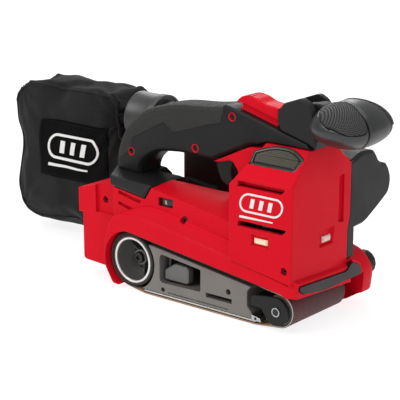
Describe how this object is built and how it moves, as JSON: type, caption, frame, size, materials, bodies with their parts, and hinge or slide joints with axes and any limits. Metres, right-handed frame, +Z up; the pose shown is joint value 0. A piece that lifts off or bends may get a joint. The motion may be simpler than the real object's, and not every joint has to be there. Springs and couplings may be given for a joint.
{
  "type": "belt sander",
  "caption": "Handheld cordless belt sander with an enclosed main handle, a tilting palm grip, a belt over two drums and a platen, a dust bag and a side battery dock",
  "frame": {"origin": "Centre of the sanding face: half way between the two drum axes, on the belt's centre line, at the underside of the belt", "axes": "+X to the front of the tool, +Y to its left side, +Z up, away from the work"},
  "size_m": [0.4773, 0.1521, 0.1979],
  "materials": {
    "red_shell": "satin moulded plastic",
    "black_plastic": "fine textured moulded plastic",
    "rubber": "soft moulded rubber",
    "cast_metal": "painted die casting",
    "steel": "machined",
    "aluminium": "turned",
    "brass": "plated contacts",
    "lens": "frosted lamp lens",
    "cloth": "woven polyester",
    "abrasive": "abrasive cloth",
    "board": "printed circuit board",
    "graphite": "graphite cloth and dark plastic"
  },
  "bodies": {
    "body": {"housing_right": "red_shell", "housing_left": "red_shell", "drive_cover": "red_shell", "battery_dock": "black_plastic", "terminal_block": "brass", "front_bumper": "rubber", "shoulder_pad_right": "rubber", "shoulder_pad_left": "rubber", "led_side": "lens", "led_front": "lens", "handle_right": "black_plastic", "handle_left": "black_plastic", "handle_grip": "rubber", "handle_foot": "black_plastic", "switch_module": "graphite", "front_mount": "black_plastic", "mount_bolt": "steel", "motor_stator": "cast_metal", "motor_bearing_right": "steel", "control_board": "board", "drum_bearing": "steel", "sanding_belt": "abrasive", "platen_frame": "cast_metal", "platen_plate": "steel", "platen_pad": "graphite", "belt_edge_stop": "steel", "lever_pin": "steel", "tension_spring": "steel", "drive_belt": "rubber", "dust_chute": "black_plastic", "screw_deck": "steel", "screw_nose": "steel", "screw_rear": "steel", "screw_handle_rear": "steel", "screw_handle_front": "steel", "screw_handle_low": "steel"},
    "trigger": {"trigger": "black_plastic"},
    "lock": {"lock_slider": "red_shell"},
    "front_handle": {"front_arm": "black_plastic", "front_knob": "black_plastic", "knob_pad_right": "rubber", "knob_pad_left": "rubber"},
    "motor": {"motor_rotor": "steel", "cooling_fan": "black_plastic", "motor_pulley": "steel"},
    "drum": {"drive_drum": "aluminium", "drum_tyre": "rubber", "drum_shaft": "steel", "drum_bolt": "steel", "drum_pulley": "aluminium"},
    "carriage": {"idler_carriage": "cast_metal", "steering_pin": "steel"},
    "fork": {"idler_fork": "black_plastic", "idler_axle": "steel"},
    "idler": {"idler_drum": "cast_metal"},
    "lever": {"tension_lever": "cast_metal"},
    "tracking": {"tracking_knob": "black_plastic"},
    "dial": {"speed_dial": "black_plastic"},
    "collar": {"dust_collar": "rubber"},
    "bag": {"dust_bag": "cloth"}
  },
  "joints": [
    {"name": "drum_spin", "type": "hinge", "parent": "body", "child": "drum", "pos_m": [-0.0827, 0, 0.0285], "axis": [0, 1, 0], "continuous": true},
    {"name": "motor_spin", "type": "hinge", "parent": "body", "child": "motor", "pos_m": [0.067, 0, 0.094], "axis": [0, 1, 0], "continuous": true},
    {"name": "tension_lever_hinge", "type": "hinge", "parent": "body", "child": "lever", "pos_m": [-0.0435, -0.03, 0.025], "axis": [0, 0, -1], "range_deg": [0, 65]},
    {"name": "carriage_slide", "type": "slide", "parent": "body", "child": "carriage", "axis": [-1, 0, 0], "range_m": [0, 0.006], "deforming": ["tension_spring"]},
    {"name": "tracking_turn", "type": "hinge", "parent": "body", "child": "tracking", "pos_m": [0.085, 0.085, 0.03], "axis": [0, 1, 0], "range_deg": [-60, 60]},
    {"name": "fork_steer", "type": "hinge", "parent": "carriage", "child": "fork", "pos_m": [0.06, 0, 0.0215], "axis": [0, 0, 1], "range_deg": [-0.5, 0.5]},
    {"name": "idler_spin", "type": "hinge", "parent": "fork", "child": "idler", "pos_m": [0.0827, 0, 0.0181], "axis": [0, 1, 0], "continuous": true},
    {"name": "trigger_pull", "type": "hinge", "parent": "body", "child": "trigger", "pos_m": [0, 0, 0.138], "axis": [0, 1, 0], "range_deg": [0, 9], "stiffness_Nm_per_rad": 0.6, "springref_deg": -11.46},
    {"name": "lock_slide", "type": "slide", "parent": "body", "child": "lock", "axis": [-0.9656, 0, 0.26], "range_m": [0, 0.0045]},
    {"name": "front_handle_tilt", "type": "hinge", "parent": "body", "child": "front_handle", "pos_m": [0.089, 0, 0.182], "axis": [0, -1, 0], "range_deg": [0, 50]},
    {"name": "dial_turn", "type": "hinge", "parent": "body", "child": "dial", "pos_m": [-0.0415, -0.0258, 0.09], "axis": [0, 0, 1], "range_deg": [-200, 50]},
    {"name": "bag_pull", "type": "slide", "parent": "body", "child": "collar", "axis": [-1, 0, 0], "range_m": [0, 0.036]},
    {"name": "bag_swivel", "type": "hinge", "parent": "collar", "child": "bag", "pos_m": [-0.15, 0.07, 0.132], "axis": [1, 0, 0], "range_deg": [-60, 60]}
  ],
  "couplings": [
    {"joint": "motor_spin", "follows": "drum_spin", "ratio": 2.1111},
    {"joint": "idler_spin", "follows": "drum_spin", "ratio": 1.7172},
    {"joint": "tension_lever_hinge", "follows": "carriage_slide", "rad_per_m": 189.08},
    {"joint": "fork_steer", "follows": "tracking_turn", "ratio": 0.008333}
  ]
}
